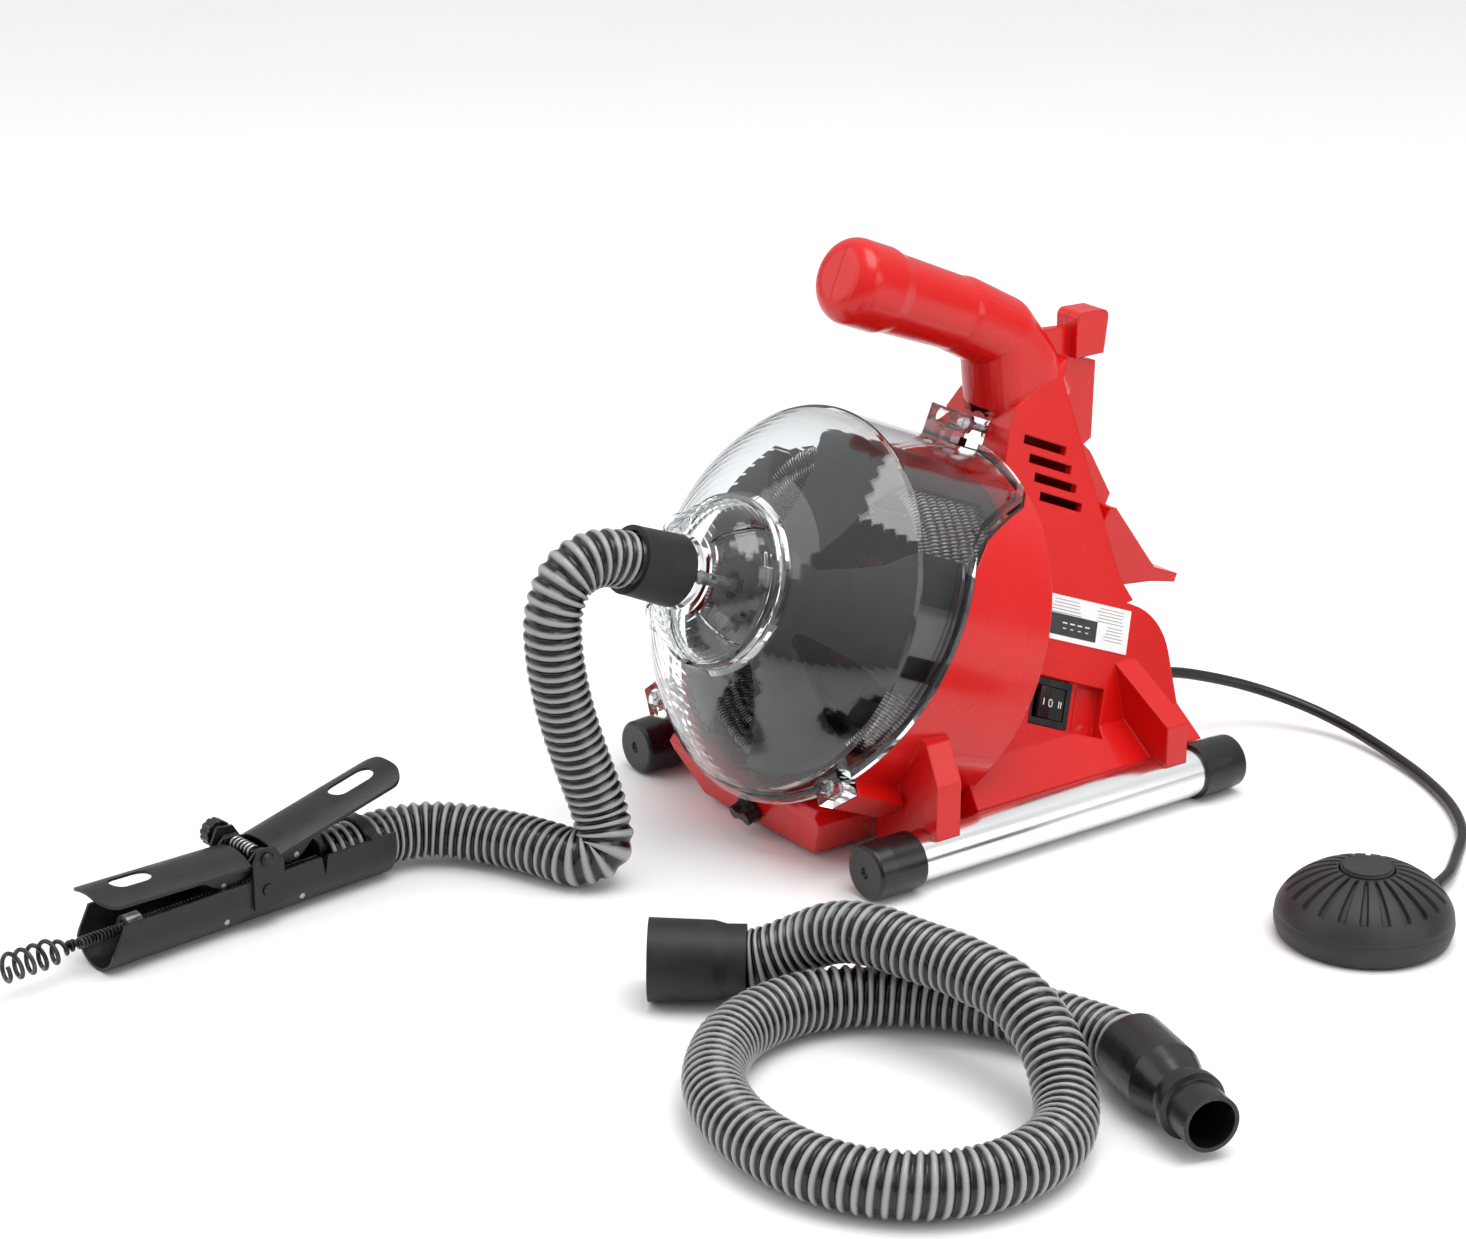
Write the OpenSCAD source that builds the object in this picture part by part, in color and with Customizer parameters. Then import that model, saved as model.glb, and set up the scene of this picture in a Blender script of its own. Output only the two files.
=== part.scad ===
// Drain snake machine: a small powered drum machine on two foot tubes, with a guide hose to a
// squeeze-lever feed tool, an air-operated foot pedal and a spare length of guide hose.
// The front of the machine is towards -Y, its switch side is +X, and the floor is z = 0.

/* [Foot tubes] */
// Distance between the axes of the two foot tubes
tube_spacing = 197; // [194:1:200]
// Outside diameter of a foot tube
tube_d = 25.4; // [24.4:0.2:25.4]
// Length over the rubber caps
feet_len = 243; // [236:1:250]

/* [Drum and cover] */
// Tilt of the drum axis, nose up, in degrees
drum_tilt = 23; // [22:0.5:24]
// Outside radius of the clear cover's wall
cover_r = 99; // [98.5:0.5:99.5]
// Outside radius of the drum
drum_r = 88; // [84:1:89]
// Number of windows in the drum
windows = 5; // [4:1:6]
// Diameter of the snake cable
cable_d = 6; // [5.6:0.1:6.2]

/* [Drive] */
// Radius of the pulley on the drum shaft
drum_pulley_r = 36; // [34:1:38]
// Radius of the pulley on the motor shaft
motor_pulley_r = 9; // [8:0.5:10]
// Distance between the drum axis and the motor axis
belt_centres = 55; // [54:1:56]
// Outside radius of the motor
motor_r = 27; // [25:0.5:27]

/* [Hoses] */
// Outside diameter of the guide hose
hose_d = 29; // [28:0.5:30]
// Outside diameter of the pedal's air hose
air_hose_d = 6; // [5:0.5:6]

/* [Feed tool] */
// Length of the feed tool's channel
channel_len = 164; // [160:1:168]
// Outside width of the channel
channel_w = 33; // [33:0.5:34]
// Height of the channel's walls
channel_h = 26; // [25:1:27]

/* [Pedal] */
// Diameter of the pedal
pedal_d = 86; // [80:1:90]
// Height of the pedal
pedal_h = 36; // [34:1:38]

/* [Hidden] */
$fn = 72;

// Places. The machine stands here in the part's frame, and its own frame is used below.
machine_at = [-99, 181, 0];
drum_at = [0, -99, 123.5];
feed_at = [-62.5, -377, 0];
feed_turn = 6.7;
pedal_at = [268, 48, 0];

tube_r = tube_d / 2;
tube_x = tube_spacing / 2;
tube_z = 14.5;
cap_r = 14.5;
cap_len = 28;
wall = 3;
gap = 0.1;

red = [0.80, 0.07, 0.05];
black = [0.08, 0.08, 0.08];
dark_grey = [0.16, 0.16, 0.17];
steel = [0.75, 0.76, 0.78];
clear = [0.85, 0.92, 0.95, 0.3];

// Points of an arc round c, from angle a0 to a1, in n steps.
function arc(c, r, a0, a1, n) =
    [for (i = [0:n]) c + r * [cos(a0 + (a1 - a0) * i / n), sin(a0 + (a1 - a0) * i / n)]];

module machine() {
    translate(machine_at) children();
}

// The drum's frame: +Z runs along the axis to the nose, +Y is up across the axis.
module drum() {
    machine() tilted() children();
}

// The motor's frame: the drum's, raised by the belt's centre distance.
module motor() {
    drum() translate([0, belt_centres, 0]) children();
}

// The feed tool's frame: -Y is the front, where the cable comes out.
module feed() {
    machine() translate(feed_at) rotate([0, 0, feed_turn]) children();
}

// An outline in (y, z) pushed out along X over [-x, x].
module side_plate(points, x) {
    rotate([90, 0, 90]) translate([0, 0, -x]) linear_extrude(2 * x) polygon(points);
}

// An outline in (x, z) pushed out along Y from y0 to y1.
module front_plate(points, y0, y1) {
    translate([0, y1, 0]) rotate([90, 0, 0]) linear_extrude(y1 - y0) polygon(points);
}

module ring(r_out, r_in, z0, z1) {
    translate([0, 0, z0]) difference() {
        cylinder(r = r_out, h = z1 - z0);
        translate([0, 0, -1]) cylinder(r = r_in, h = z1 - z0 + 2);
    }
}

module rod(r, z0, z1) {
    translate([0, 0, z0]) cylinder(r = r, h = z1 - z0);
}

// A cylinder along X, centred on the middle plane at (y, z) = p.
module across(p, r, width) {
    translate([-width / 2, p[0], p[1]]) rotate([0, 90, 0]) cylinder(r = r, h = width);
}

// ---- Foot tubes and caps

module foot_tube(side) {
    color(steel) machine()
        translate([side * tube_x, -feet_len / 2 + 4, tube_z]) rotate([-90, 0, 0]) difference() {
            cylinder(r = tube_r, h = feet_len - 8);
            translate([0, 0, -1]) cylinder(r = tube_r - 1.5, h = feet_len);
        }
}

// A push-on cap, open towards the tube, with rounded edges and a dimple in its face.
module foot_cap(side, end) {
    color(black) machine()
        translate([side * tube_x, end * feet_len / 2, tube_z]) rotate([end * 90, 0, 0]) difference() {
            rotate_extrude() polygon(concat(
                [[0, 1.2], [2.5, 1.2], [3, 0]],
                arc([cap_r - 2.5, 2], 2, -90, 0, 6),
                [[cap_r, 10], [cap_r, cap_len], [tube_r, cap_len], [0, cap_len]]
            ));
            rod(tube_r, 4, cap_len + 1);
        }
}

// ---- Clear cover

// Everything in front of the seam between the clear cover and the red shroud. The seam leans back
// from the bottom to the sides, then steps back over the top so that the cover makes a hood there.
module front_region(d) {
    translate([0, 0, d - 26]) rotate([-9, 0, 0]) translate([-150, -150, 0]) cube([300, 300, 200]);
    translate([0, 150, 0]) rotate([90, 0, 0]) linear_extrude(110) polygon([
        [-96, 20], [-90 + d, -32 + d], [-79 + d, -44 + d], [-60 + d, -78 + d], [-50 + d, -86 + d],
        [50 - d, -86 + d], [60 - d, -78 + d], [79 - d, -44 + d], [90 - d, -32 + d], [96, 20]
    ]);
}

cover_wall = 2.4;
dome_c = [10.6, -66.2];
dome_r = 110;
lug_angles = [-46, -134];
lug_r = cover_r + 7;
top_screw_y = 110;

// The two lower screw lugs and the block on the hood that takes the top screw.
module cover_lugs() {
    for (a = lug_angles)
        rotate(a) translate([cover_r - 1, -8, -20]) cube([14, 16, 17]);
    translate([-11, cover_r - 3, -90]) cube([22, 19, 26]);
}

module drum_cover() {
    color(clear) drum() difference() {
        union() {
            intersection() {
                union() {
                    rotate_extrude($fn = 120) polygon(concat(
                        [[cover_r, -100], [cover_r, -1]],
                        arc(dome_c, dome_r, 37, 71, 12),
                        [[44, 40], [41, 40], [41, 35]],
                        arc(dome_c, dome_r - cover_wall, 71, 37.5, 12),
                        [[cover_r - cover_wall, -3], [cover_r - cover_wall, -100]]
                    ));
                    difference() {
                        ring(cover_r + 4, cover_r - 1, -100, 20);
                        front_region(2.6);
                    }
                }
                front_region(0);
            }
            difference() {
                intersection() {
                    cover_lugs();
                    front_region(0);
                }
                cylinder(r = cover_r - 0.5, h = 240, center = true);
            }
        }
        for (a = lug_angles)
            rotate(a) translate([lug_r, 0, 0]) {
                rod(2.2, -30, 0);
                rod(4.6, -8, 0);
            }
        translate([0, top_screw_y, 0]) {
            rod(2.2, -90, -60);
            rod(5, -80, -60);
        }
    }
}

module cover_gasket() {
    color(black) drum() intersection() {
        ring(cover_r + 1.5, cover_r - 1.5, -100, 20);
        difference() {
            front_region(-1.2);
            front_region(-gap);
        }
    }
}

// A pan-head screw along +Z with its head's top at z = 0.
module pan_screw(r, head_r, length) {
    difference() {
        rod(head_r, -3, 0);
        translate([-0.5, -head_r * 0.7, -1]) cube([1, head_r * 1.4, 2]);
        translate([-head_r * 0.7, -0.5, -1]) cube([head_r * 1.4, 1, 2]);
    }
    rod(r, -length, -3);
}

module cover_screws() {
    color(steel) drum() {
        for (a = lug_angles)
            rotate(a) translate([lug_r, 0, -5]) pan_screw(2, 4.2, 24);
        translate([0, top_screw_y, -77]) pan_screw(2, 4.5, 26);
    }
}

// ---- Nose cap, cuff and hoses

cuff_z0 = 71;
cuff_z1 = 101;
spigot_r = 14.4;

module nose_cap() {
    color(clear) drum() {
        rotate_extrude() polygon(concat(
            [[44.2, 41], [44.2, 45]],
            arc([14, 41], 28, 8, 80, 10),
            [[17, cuff_z0 - 1.5], [spigot_r, cuff_z0 - 1.5], [spigot_r, 92], [11.5, 92], [11.5, 66]],
            arc([14, 41], 25.5, 80, 5, 10),
            [[39.5, 41]]
        ));
        for (i = [0:7])
            rotate(i * 45 + 10) translate([24, 0, 41.5]) intersection() {
                translate([0, -0.9, 0]) cube([18, 1.8, 26]);
                translate([-10, 0, -0.5]) rotate([90, 0, 0]) difference() {
                    cylinder(r = 30, h = 4, center = true);
                    cylinder(r = 26.5, h = 5, center = true);
                }
            }
        cap_lugs();
    }
}

// Three grip lugs on the cap's flange.
module cap_lugs() {
    for (i = [0:2])
        rotate(i * 120 + 30) translate([38, -4, 44]) cube([5, 8, 5]);
}

module hose_cuff() {
    color(dark_grey) drum() difference() {
        rotate_extrude() polygon([
            [spigot_r, cuff_z0], [17.4, cuff_z0], [18.2, cuff_z0 + 1], [17.2, cuff_z1 - 3],
            [17.2, cuff_z1], [spigot_r, cuff_z1]
        ]);
        rod(hose_d / 2, 92, cuff_z1 + 1);
    }
}

function sub(a, b) = [a[0] - b[0], a[1] - b[1], a[2] - b[2]];
function unit(v) = v / norm(v);
// The direction of the route at point i.
function along(p, i) = unit(sub(p[min(i + 1, len(p) - 1)], p[max(i - 1, 0)]));

// A point on the Catmull-Rom curve through p between points i and i + 1, at t from 0 to 1.
function curve_at(p, i, t) =
    let (a = p[max(i - 1, 0)], b = p[i], c = p[i + 1], d = p[min(i + 2, len(p) - 1)])
    0.5 * (2 * b + t * (c - a) + t * t * (2 * a - 5 * b + 4 * c - d)
        + t * t * t * (3 * b - a - 3 * c + d));

// The route with each stretch between two points split into n.
function smooth(p, n) = concat(
    [for (i = [0:len(p) - 2]) for (k = [0:n - 1]) curve_at(p, i, k / n)],
    [p[len(p) - 1]]
);

// Side directions carried along the route, so that the rings don't twist.
function carried(p, i, v) = let (t = along(p, i)) unit(v - t * (v * t));
function sides(p, first) = [
    for (i = 0, v = carried(p, 0, first); i < len(p); i = i + 1, v = carried(p, min(i, len(p) - 1), v)) v
];

// One closed tube of radius r along the points p, with n sides.
module swept_tube(p, r, n, first) {
    side = sides(p, first);
    rings = [
        for (i = [0:len(p) - 1])
            let (t = along(p, i), u = side[i], v = cross(t, u))
            [for (k = [0:n - 1]) p[i] + r * (cos(360 * k / n) * u + sin(360 * k / n) * v)]
    ];
    verts = [for (a = rings) for (q = a) q];
    last = len(verts) - n;
    polyhedron(
        points = verts,
        faces = concat(
            [[for (k = [0:n - 1]) k]],
            [[for (k = [n - 1:-1:0]) last + k]],
            [
                for (i = [0:len(p) - 2]) for (k = [0:n - 1])
                    [i * n + k, (i + 1) * n + k, (i + 1) * n + (k + 1) % n]
            ],
            [
                for (i = [0:len(p) - 2]) for (k = [0:n - 1])
                    [i * n + k, (i + 1) * n + (k + 1) % n, i * n + (k + 1) % n]
            ]
        )
    );
}

// The guide hose: out of the cuff, over and down to the floor, round and into the feed tool.
guide_route = [
    [0, -184, 159.5], [0, -208, 167], [0, -226, 162], [0, -235, 145], [0, -235, 123], [0, -230, 96],
    [1, -222, 68], [4, -214, 41], [9, -214, 22], [2, -224, 15], [-14, -231, 15], [-32, -238, 15],
    [-48, -247, 15], [-60, -258, 16], [-69, -271, 16.5], [-73, -288, 16.5], [-70.9, -306, 16.5],
    [-68, -330, 16.5]
];

// The air hose: out of the rear wall, down to the floor and round to the pedal.
air_route = [
    [30, 118, 40], [31, 140, 38], [36, 165, 31], [46, 190, 22], [66, 208, 14], [92, 216, 8],
    [125, 214, 4.5], [160, 205, 3.2], [192, 190, 3.2], [218, 170, 3.2], [236, 147, 3.4],
    [252, 124, 5.4], [261.2, 103.6, 7]
];

// The spare hose: from its cuff over its own tail, once round on the floor and under to the adapter.
spare_route = [
    [147, -237, 20], [156, -226, 22], [168, -215, 30], [184, -207, 40], [204, -201, 45],
    [230, -194, 45], [257, -188, 45], [285, -185, 42], [311, -188, 32], [333, -198, 20],
    [350, -214, 15], [360, -235, 15], [362, -260, 15], [354, -284, 15], [338, -303, 15],
    [315, -316, 15], [288, -321, 15], [261, -319, 15], [236, -310, 15], [216, -295, 15],
    [201, -276, 15], [193, -254, 15], [192, -232, 15], [198, -212, 15], [209, -194, 15],
    [224, -178, 15], [244, -164, 15], [267, -153, 15], [290, -146, 15.6], [308, -144, 17],
    [324, -146.5, 17.6]
];

module guide_hose() {
    color(dark_grey) machine() swept_tube(guide_route, hose_d / 2 - 0.1, 12, [1, 0, 0]);
}

module air_hose() {
    color(black) machine() swept_tube(smooth(air_route, 2), air_hose_d / 2, 8, [0, 0, 1]);
}

module spare_hose() {
    color(dark_grey) machine() swept_tube(spare_route, hose_d / 2 - 0.1, 12, [0, 0, 1]);
}

module spare_cuff() {
    color(black) machine() translate([147, -237, 20]) rotate([0, 0, -128]) rotate([0, 90, 0])
        rotate_extrude() polygon([
            [14.4, -7], [17, -7], [17, 2], [18.6, 8], [19.4, 38], [17, 38], [17, 9], [14.4, 4]
        ]);
}

module spare_adapter() {
    color(dark_grey) machine() translate([324, -146.5, 17.6]) rotate([0, 0, -15]) rotate([0, 90, 0])
        rotate_extrude() polygon([
            [14.5, -8], [17.4, -8], [17.4, 22], [15, 30], [13, 36], [13, 42], [15.6, 43], [15.6, 47],
            [13, 48], [13, 64], [11, 64], [11, 34], [14.5, 12]
        ]);
}

// ---- Drum and its cable

drum_front_z = -10;
drum_back_z = -73;
shell = 2.4;
window_turn = 45;

// The trumpet-shaped front of the drum with its rim band, before the windows are cut.
module drum_skin() {
    rotate_extrude($fn = 120) polygon([
        [7, 33], [15, 33], [17, 26], [21, 19], [28, 11], [38, 4], [50, -1], [64, -4.5], [78, -7],
        [drum_r - 3, -8.5], [drum_r, drum_front_z - 2], [drum_r, drum_back_z],
        [drum_r - shell, drum_back_z], [drum_r - shell, drum_front_z - 3],
        [drum_r - 5, drum_front_z - 1], [78, drum_front_z + 0.5], [64, -7.2], [50, -3.7],
        [37, 1.6], [26.5, 8.5], [19, 16.5], [14.5, 24], [12, 30], [7, 30]
    ]);
}

// One window: a teardrop that widens to the rim and opens on to the drum's wall.
module drum_window() {
    translate([0, 0, drum_back_z + 9]) linear_extrude(120) union() {
        translate([36, 0]) circle(r = 5);
        polygon([[35.5, 5], [36, -5], [66, -17], [66, 17]]);
        polygon([[66, 17], [66, -17], [100, -21], [100, 21]]);
    }
}

module drum_shell() {
    color(dark_grey) drum() difference() {
        drum_skin();
        for (i = [0:windows - 1])
            rotate(window_turn + i * 360 / windows) drum_window();
    }
}

module drum_back() {
    color(dark_grey) drum() difference() {
        union() {
            ring(drum_r, 7, drum_back_z - 3, drum_back_z - gap);
            rod(14, drum_back_z - 3, -50);
            ring(56, 53, drum_back_z - 1, -30);
        }
        rod(7, -90, -20);
        for (i = [0:windows - 1])
            rotate(i * 360 / windows) translate([34, 0, -80]) cylinder(r = 11, h = 12);
    }
}

module drum_shaft() {
    color(steel) drum() union() {
        rod(6.95, drum_back_z - 6, -30);
        rod(5.95, -124, drum_back_z - 5.9);
    }
}

module drum_pulley() {
    color(dark_grey) drum() difference() {
        union() {
            rod(drum_pulley_r, -105, -94);
            rod(drum_pulley_r + 1.6, -105, -103.6);
            rod(drum_pulley_r + 1.6, -95.4, -94);
            rod(11, -108, -94);
        }
        rod(5.95, -110, -90);
        for (i = [0:4])
            rotate(i * 72) translate([22, 0, -110]) cylinder(r = 6, h = 20);
    }
}

// The snake cable wound in the drum: rings side by side, in three layers from the wall inwards.
coil_layers = [[81.8, 8], [75.4, 7], [69.0, 5]];

module cable_coil() {
    color(steel) drum()
        for (layer = coil_layers) for (i = [0:layer[1] - 1])
            translate([0, 0, drum_back_z + 4.5 + i * (cable_d + 0.9)])
                rotate_extrude() translate([layer[0], 0]) circle(d = cable_d, $fn = 24);
}

// The cable's straight run from the drum's throat to the hose.
module cable_lead() {
    color(steel) drum() rod(cable_d / 2, -14, 91.5);
}

module bearing(z0) {
    color(steel) drum() ring(14, 6, z0, z0 + 8);
}

// ---- Motor and belt

module drive_belt() {
    color(black) drum() translate([0, 0, -102.5]) linear_extrude(6) difference() {
        hull() {
            circle(r = drum_pulley_r + 1.4);
            translate([0, belt_centres]) circle(r = motor_pulley_r + 1.4);
        }
        hull() {
            circle(r = drum_pulley_r + 0.05);
            translate([0, belt_centres]) circle(r = motor_pulley_r + 0.05);
        }
    }
}

module motor_pulley() {
    color(steel) motor() difference() {
        union() {
            rod(motor_pulley_r, -105, -94);
            rod(motor_pulley_r + 1.4, -105, -103.6);
        }
        rod(4.02, -110, -90);
    }
}

motor_z0 = -148;
motor_z1 = -108;

module motor_can() {
    color(steel) motor() difference() {
        rod(motor_r, motor_z0, motor_z1);
        rod(motor_r - 2, motor_z0 - 1, motor_z1 - 3);
        rod(4.05, -120, -100);
        for (i = [0:3])
            rotate(i * 90 + 45) translate([16, 0, motor_z1 - 5]) cylinder(r = 4, h = 10);
    }
}

module motor_magnets() {
    color(dark_grey) motor() for (side = [0, 180]) rotate(side) difference() {
        ring(motor_r - 2, 17.5, -139, -115);
        translate([-40, -60, -150]) cube([80, 68, 60]);
    }
}

module motor_rotor() {
    color(steel) motor() union() {
        rod(4, -149, -93);
        rod(16, -138, -116);
        rod(8, -116, -112);
    }
}

module motor_fan() {
    color(black) motor() difference() {
        union() {
            ring(9, 4, -147, -140);
            ring(22, 8, -147, -145.5);
            for (i = [0:8])
                rotate(i * 40) translate([8, -0.6, -147]) cube([14, 1.2, 6]);
        }
        rod(4, -150, -130);
    }
}

// ---- Housing

// Half-width of the housing at height z: its sides lean in from the skirt to the handle.
side_slope = 0.31;
lean = atan(side_slope);
function half_w(z) = 20 + (213 - z) * side_slope;

// The handle's grip runs parallel to the drum's axis, then bends down into the spine.
grip_front = [-46, 275.5];
grip_back = [13, 251.5];
bend_top = [38, 238];
bend_end = [53, 219];

// Side outlines, as (y, z).
body_side = concat(
    [[-56, 6], [106, 6]], arc([76, 68], 30, 0, 67, 8), [[0, 133], [-20, 90]]
);
spine_side = [[-21, 88], [21, 187], [33, 205], [73, 222], [66, 213], [82, 110], [88, 98]];
sump_side = [[-121, 24], [-113, 4], [10, 4], [10, 40], [-100, 40], [-126, 34]];
horn_side = concat(
    [[85, 218], [104, 218]], arc([102.5, 237.5], 4, 0, 80, 4), arc([89, 238], 4, 100, 180, 4)
);
horn_web_side = [[56, 200], [80, 205], [107, 223], [107, 229], [84, 234], [56, 236]];
fin_side = [
    [60, 225], [103, 213], [102, 171], [97, 168], [102, 163], [117, 137], [114, 131], [90, 112],
    [60, 112]
];
hook_side = [
    [78, 113], [97, 139], [101, 138], [130, 99], [147, 92], [145, 87.5], [128, 91.5], [97, 95],
    [84, 99]
];

// Front outlines, as (x, z), for the +X side.
body_front = [
    [0, 0], [84, 0], [84, 8], [93, 12], [94, 27], [half_w(42), 42], [half_w(213), 213], [0, 250]
];
inner_front = [
    [0, 9], [60, 9], [half_w(40) - wall - 1, 38], [half_w(213) - wall - 1, 213], [0, 240]
];
sump_front = [[0, 0], [44, 0], [62, 26], [62, 60], [0, 60]];
post_front = [[60, 8], [88, 8], [107, 22], [107, 53], [98, 72], [70, 84], [60, 84]];
gusset_front = [[50, 8], [88, 8], [106, 22], [106, 47], [half_w(70), 70], [50, 74]];

// The space inside the lower body and the spine, side on.
inner_side = concat(
    [[-51, 9], [103, 9]], arc([76, 68], 27, 0, 60, 6),
    [[78, 112], [63, 208], [42, 212], [37, 204], [25, 187]]
);

// The handle, inset by t: a turned grip with a bulging end, then two bends into the spine.
module grip_solid(t) {
    slope = atan2(grip_back[1] - grip_front[1], grip_back[0] - grip_front[0]);
    len = norm(grip_back - grip_front);
    translate([0, grip_front[0], grip_front[1]]) rotate([slope - 90, 0, 0]) rotate_extrude() polygon(concat(
        [[0, -22 + t]],
        arc([11, -11], 11 - t, -90, 0, 8),
        [[22 - t, 6], [20.4 - t, 13], [19 - t, len], [0, len]]
    ));
    hull() {
        translate([0, grip_back[0], grip_back[1]]) sphere(r = 20 - t, $fn = 40);
        translate([0, bend_top[0], bend_top[1]]) sphere(r = 20 - t, $fn = 40);
    }
    hull() {
        translate([0, bend_top[0], bend_top[1]]) sphere(r = 20 - t, $fn = 40);
        translate([0, bend_end[0], bend_end[1]]) sphere(r = 20 - t, $fn = 40);
        translate([0, 52, 203]) spine_top(t);
    }
}

// The slab at the top of the spine that the handle runs into.
module spine_top(t) {
    for (p = [[-10, 0], [10, 0], [-7, -15]])
        translate([0, p[0], p[1]]) cylinder(r = 20 - t, h = 2, $fn = 40);
}

module vent_slots() {
    for (i = [0:3])
        translate([-70, 110 - 8.4 * i, -125 - 5 * i]) {
            cube([140, 4.4, 28]);
        }
}

// The solid outer shape of the housing, both halves together.
module housing_outer() {
    intersection() {
        union() {
            side_plate(body_side, 120);
            side_plate(spine_side, 120);
        }
        both_sides() front_plate(body_front, -120, 150);
    }
    intersection() {
        side_plate(sump_side, 120);
        both_sides() front_plate(sump_front, -140, 20);
    }
    both_sides() {
        front_plate(post_front, -84, -69);
        front_plate(gusset_front, 69, 83);
    }
    grip_solid(0);
    side_plate(horn_side, 8);
    side_plate(horn_web_side, 2.4);
    side_plate(fin_side, 3);
    side_plate(hook_side, 26);
}

module both_sides() {
    children();
    mirror([1, 0, 0]) children();
}

// The drum's tilted frame inside the machine's.
module tilted() {
    translate(drum_at) rotate([90 - drum_tilt, 0, 0]) children();
}

// Bulkhead behind the belt, which holds the rear bearing and the motor.
module bulkhead() {
    intersection() {
        tilted() translate([-90, -95, -120]) cube([180, 205, 6]);
        side_plate(inner_side, 120);
        both_sides() front_plate(inner_front, -140, 140);
    }
}

// What the housing is cut by: the drum's space, bores, vents, switch, inlets and tube saddles.
module housing_cuts() {
    tilted() {
        rod(cover_r - 2.5, -83, 60);
        rod(14.05, -130, -70);
        translate([0, belt_centres, 0]) rod(motor_r + 0.05, -125, motor_z1);
        vent_slots();
        translate([0, top_screw_y, 0]) rod(2, -110, -80);
        for (a = lug_angles)
            rotate(a) translate([lug_r, 0, 0]) rod(2, -40, 0);
        cover_space();
    }
    for (side = [-1, 1])
        translate([side * tube_x, 0, tube_z]) rotate([-90, 0, 0]) {
            translate([0, 0, -150]) cylinder(r = tube_r + 0.05, h = 300);
            translate([0, 0, feet_len / 2 - cap_len - 0.5]) cylinder(r = cap_r + 0.4, h = 60);
        }
    switch_at() {
        translate([-11.6, -10.1, -30]) cube([23.2, 20.2, 60]);
        translate([-14.5, -12.9, 0]) cube([47, 25.8, 30]);
    }
    translate([30, 90, 40]) rotate([-90, 0, 0]) cylinder(r = 5.05, h = 40);
    translate([-32, 90, 40]) rotate([-90, 0, 0]) cylinder(r = 7.05, h = 40);
    plug_frame() rod(6.05, -20, 20);
}

// What the cover and its gasket take up behind the drum's rim, leaving the back plate whole.
module cover_space() {
    difference() {
        intersection() {
            front_region(-1.2 - gap);
            rod(118, -120, 30);
        }
        rod(cover_r - 2.6, -120, -83);
    }
}

module shroud_and_body() {
    difference() {
        union() {
            difference() {
                housing_outer();
                intersection() {
                    side_plate(inner_side, 120);
                    both_sides() front_plate(inner_front, -140, 140);
                }
                tilted() translate([-150, -115, -86]) cube([300, 235, 110]);
                grip_solid(2.6);
            }
            bulkhead();
            tilted() shroud();
            switch_pocket();
            intersection() {
                housing_outer();
                for (p = screw_places)
                    across(p, 6, 220);
            }
        }
        housing_cuts();
        for (p = screw_places) {
            across(p, 2, 26);
            translate([screw_x - 50, 0, 0]) across(p, 3.8, 100);
        }
        translate([-200, -200, -10]) cube([400, 400, 14]);
    }
}

// The red shroud round the drum with its back plate, posts and screw bosses.
module shroud() {
    difference() {
        union() {
            ring(cover_r + 2.5, cover_r - 2.5, -86, 20);
            rod(cover_r + 2.5, -89, -83);
            rod(20, -92, -80);
            translate([0, top_screw_y, 0]) rod(8, -116, -80);
            for (a = lug_angles)
                rotate(a) translate([cover_r, -8, -46]) cube([13, 16, 40]);
            rotate([drum_tilt - 90, 0, 0]) translate(-drum_at) {
                intersection() {
                    side_plate(sump_side, 120);
                    both_sides() front_plate(sump_front, -140, 20);
                }
                both_sides() front_plate(post_front, -84, -69);
            }
        }
        rod(cover_r - 2.5, -83, 100);
    }
}

// ---- Switch, label and rear inlets

// The side panel's frame at its switch: +Z out of the panel, +X back along the drum's axis.
module switch_at() {
    translate([half_w(58) - 5, 24, 58]) rotate([0, -lean, 0]) rotate([90, 0, 90]) rotate([0, 0, -drum_tilt])
        children();
}

module switch_pocket() {
    difference() {
        intersection() {
            switch_at() translate([-17, -15.4, -3]) cube([52, 30.8, 12]);
            both_sides() front_plate(body_front, -120, 150);
        }
        switch_at() translate([18, -12, -1]) cube([14, 24, 3]);
    }
}

module power_switch_frame() {
    color(black) machine() switch_at() difference() {
        union() {
            translate([-13.5, -12, 0]) cube([27, 24, 2]);
            translate([-11.5, -10, -18]) cube([23, 20, 18.5]);
        }
        translate([-10.4, -8.5, -6]) cube([20.8, 17, 12]);
        translate([0, 0, -2]) rotate([90, 0, 0]) cylinder(r = 1.05, h = 19.6, center = true);
    }
}

// The rocker rests with its rear end pressed in.
module power_switch_rocker() {
    color(dark_grey) machine() switch_at() translate([0, 0, -2]) rotate([0, 8, 0]) union() {
        translate([0, 8.1, 0]) rotate([90, 0, 0]) linear_extrude(16.2) polygon([
            [-9.5, 3.4], [-9, 5.2], [0, 4], [9, 5.2], [9.5, 3.4], [5, -1.4], [-5, -1.4]
        ]);
        rotate([90, 0, 0]) cylinder(r = 1, h = 19, center = true);
    }
}

module rating_label() {
    color("white") machine() translate([half_w(93) - 0.3, 54, 93]) rotate([0, -lean, 0]) rotate([90, 0, 90])
        rotate([0, 0, -drum_tilt + 1]) translate([-27, -11.5, 0.3]) cube([56, 23, 0.5]);
}

module cord_gland() {
    color(black) machine() translate([-32, 103, 40]) rotate([-90, 0, 0]) difference() {
        union() {
            rod(7, -4, 6);
            rod(9.5, 3.1, 6);
            translate([0, 0, 6]) cylinder(r1 = 7, r2 = 5, h = 16);
            rod(9.5, -8, -4);
        }
        rod(3.6, -9, 24);
    }
}

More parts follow.
